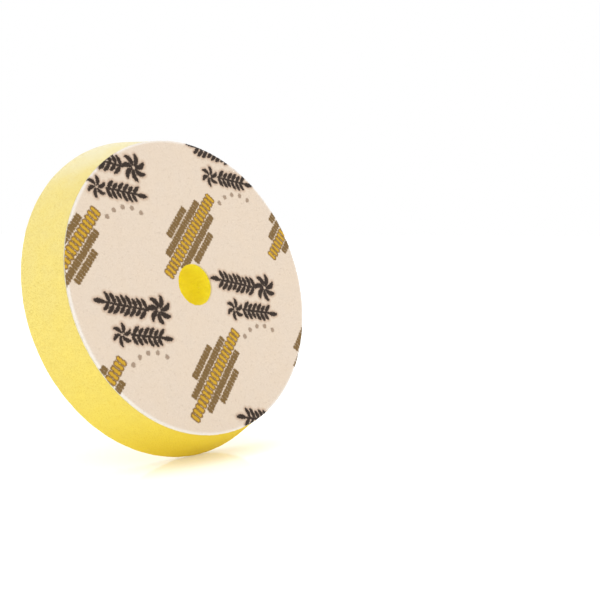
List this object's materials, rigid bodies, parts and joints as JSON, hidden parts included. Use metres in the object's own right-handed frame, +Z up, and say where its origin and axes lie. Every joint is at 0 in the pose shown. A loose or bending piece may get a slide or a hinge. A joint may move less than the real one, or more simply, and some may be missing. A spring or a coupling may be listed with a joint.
{
  "type": "polishing pad",
  "caption": "Round foam polishing pad with a tapered side, rounded working edge, centre hole and hook-and-loop fabric backing.",
  "frame": {"origin": "centre of the loop face, on the spin axis, where the polisher's backing plate meets the pad", "axes": "+Y along the spin axis, from the loop face to the working face; +Z up with the pad standing on its rim like a wheel; +X to the right as the loop face is looked at"},
  "size_m": [0.165, 0.028, 0.165],
  "materials": {
    "yellow_foam": "matte",
    "hot_melt_film": "satin",
    "knitted_ground": "matte",
    "brushed_loops": "matte"
  },
  "bodies": {
    "root": {"foam_body": "yellow_foam", "bond_film": "hot_melt_film", "loop_ground": "knitted_ground", "loop_pile": "brushed_loops"}
  },
  "joints": []
}
